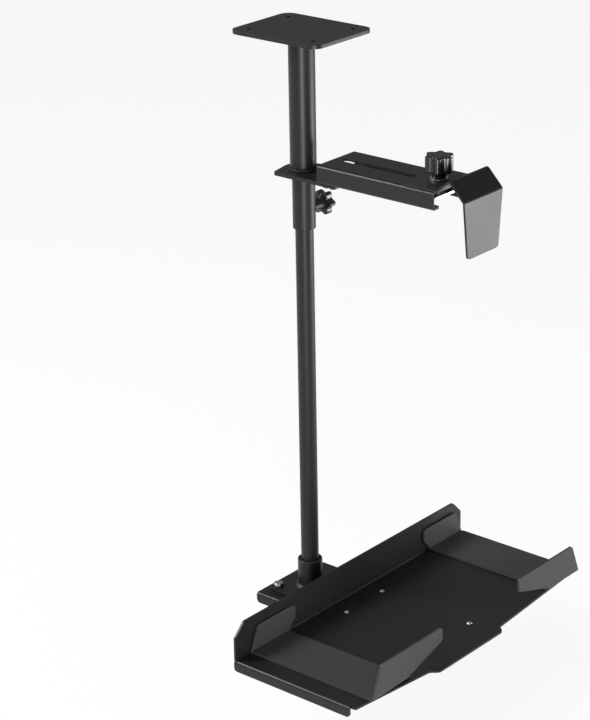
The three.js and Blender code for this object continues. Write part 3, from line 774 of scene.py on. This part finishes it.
def make_cradle(end):
    """Floor strip and upright of one cradle; the upright leans back at its outer end and flares inwards."""
    node = "cradle_" + end
    low, high = BOX[node]
    half = SHEET / 2
    base, lean, flare, flare_h = 0.062, 0.4, 0.058, 0.022
    z = low.z + half
    right = high.x - half
    wall = high.z - low.z
    outer, sense = (low.y, 1) if end == "front" else (high.y, -1)
    bm = folded_strip([(low.x, z), (right, z), (right, high.z)], "Y", low.y, high.y, SOFT_BEND)
    inner = outer + sense * base
    bend = SOFT_BEND + half
    knee = z + bend
    trim(bm, (0, inner, 0), (0, sense, 0), lambda c: c.z < knee + MERGE)
    trim(bm, (right, inner, knee), (0, sense * (flare_h - (knee - low.z)), -flare),
         lambda c: c.z > knee and sense * (c.y - inner) > -0.2)
    trim(bm, (right, outer, low.z), (0, -sense * wall, wall * lean),
         lambda c: c.z > z - MERGE and c.x > right - bend * 1.2)
    tip = inner + sense * flare
    round_corner(bm, [(right, tip, high.z)], 0.005)
    round_corner(bm, [(right, tip, low.z + flare_h)], 0.002, 5)
    round_corner(bm, [(right, outer + sense * wall * lean, high.z)], 0.003)
    round_corner(bm, [(low.x, y, z) for y in (outer, inner)], 0.003)
    settle("cradle_sheet_" + end, soften(thicken(bm)), node)
    settle("guide_plate_" + end, soften(from_node("guide_" + end)), "guide_" + end)
    steel_ring(f"cradle_nut_{end}_round", "cradle_nut_" + end, 0.003, 48, 0.0002)


def make_foot():
    """Cross channel under the tray, and the mast's foot plate with its welded socket."""
    low, high = BOX["cross_channel"]
    front, rear, z = low.y + SHEET / 2, high.y - SHEET / 2, high.z - SHEET / 2
    channel_corner, plate_corner = 0.005, 0.008
    across = [(front, low.z), (front, z), (rear, z), (rear, low.z)]
    bm = folded_strip(across, "X", low.x, high.x, TIGHT_BEND)
    round_corner(bm, [(x, y, low.z) for x in (low.x, high.x) for y in (front, rear)], channel_corner)
    settle("cross_beam", soften(thicken(bm)), "cross_channel")

    low, high = BOX["mast_socket"]
    plate_thickness, socket_radius, overlap = 0.005, 0.014, 0.0005
    plate_top = low.z + plate_thickness
    bm = plate(high - low, plate_corner, (0, 0, (low.z + plate_top) / 2), plate_thickness)
    settle("mast_foot_plate", soften(bm, 0.0005), "mast_socket")
    socket = turned(ring_profile(SLIDING_BORE, socket_radius, plate_top - overlap, high.z), TUBE_SIDES)
    settle("mast_foot_socket", soften(socket, 0.0008, 3), "mast_socket", stands_for=False)
    weld_bead("mast_foot_weld", "mast_socket", (0, 0, plate_top), socket_radius, 0.0042)


def finish_hidden_nodes():
    """Pieces inside the tubes keep their own solids, in their own materials."""
    for node in ("head_ring", "head_pin", "mast_cap", "guide_bush", "thrust_bush"):
        mesh = bpy.data.objects[node].data
        mesh.materials.clear()
        mesh.materials.append(SLOT_FINISH[NODE_SLOT[node]])


# ------------------------------------------------------------------ floor, lights and camera
def make_floor():
    floor_mesh = bmesh.new()
    bmesh.ops.create_grid(floor_mesh, x_segments=1, y_segments=1, size=20)
    floor_z = lo("cross_channel").z - FLOOR_BELOW
    bmesh.ops.translate(floor_mesh, verts=floor_mesh.verts, vec=(0, 0, floor_z))
    mesh = bpy.data.meshes.new("floor")
    floor_mesh.to_mesh(mesh)
    floor_mesh.free()
    floor = bpy.data.objects.new("floor", mesh)
    mesh.materials.append(floor_finish())
    bpy.context.scene.collection.objects.link(floor)


def make_sky():
    """A white sky, which the camera sees brighter than it lights the object."""
    world = bpy.data.worlds.new("studio")
    bpy.context.scene.world = world
    world.use_nodes = True
    nodes, links = world.node_tree.nodes, world.node_tree.links
    shaders = nodes.new("ShaderNodeMixShader")
    links.new(nodes.new("ShaderNodeLightPath").outputs["Is Camera Ray"], shaders.inputs[0])
    for index, strength in ((1, SKY_LIGHT), (2, SKY_SEEN)):
        sky = nodes.new("ShaderNodeBackground")
        sky.inputs["Color"].default_value = (1, 1, 1, 1)
        sky.inputs["Strength"].default_value = strength
        links.new(sky.outputs[0], shaders.inputs[index])
    links.new(shaders.outputs[0], nodes["World Output"].inputs["Surface"])


def make_lamps():
    centre = Vector((0.1, 0, -0.35))
    for name, place, size, power in LAMPS:
        lamp = bpy.data.lights.new(name, "AREA")
        lamp.size = size
        lamp.energy = power
        holder = bpy.data.objects.new(name, lamp)
        holder.location = Vector(place)
        holder.rotation_mode = "QUATERNION"
        holder.rotation_quaternion = (centre - Vector(place)).to_track_quat("-Z", "Y")
        bpy.context.scene.collection.objects.link(holder)


def make_camera():
    azimuth, elevation, roll = math.radians(40.62), math.radians(22.03), math.radians(-1.09)
    below_collar, distance = 0.2007, 2.6
    aim = Vector((0.022, -0.0455, lo("swivel_washer").z - GAP - below_collar))
    back = Vector((math.sin(azimuth) * math.cos(elevation), -math.cos(azimuth) * math.cos(elevation),
                   math.sin(elevation)))
    data = bpy.data.cameras.new("camera")
    data.lens = 120.3
    data.sensor_width = 36
    data.clip_end = 60
    camera = bpy.data.objects.new("camera", data)
    camera.rotation_mode = "QUATERNION"
    camera.rotation_quaternion = (-back).to_track_quat("-Z", "Y")
    camera.rotation_quaternion.rotate(Matrix.Rotation(roll, 3, back))
    camera.location = aim + back * distance
    bpy.context.scene.collection.objects.link(camera)
    bpy.context.scene.camera = camera


make_camera()
make_floor()
make_sky()
make_lamps()
make_desk_plate()
make_tubes()
make_collar()
make_channel()
make_arm()
make_pad()
make_slide()
make_tray()
for cradle_end in ("front", "rear"):
    make_cradle(cradle_end)
make_foot()
for index in range(1, 5):
    rivet(f"tray_rivet_{index}_domed", f"tray_rivet_{index}")
    rivet(f"lip_rivet_{index}_domed", f"lip_rivet_{index}")
    hex_bolt(f"mast_bolt_{index}_hex", f"mast_bolt_{index}")
    hex_nut(f"mast_nut_{index}_hex", f"mast_nut_{index}")
for knob, knob_way in (("width_knob", "Z"), ("height_knob", "Y"), ("cradle_knob_front", "-Z"),
                       ("cradle_knob_rear", "-Z")):
    star_knob(knob + "_grip", knob, knob_way)
finish_hidden_nodes()

bpy.context.scene.view_settings.view_transform = "Standard"
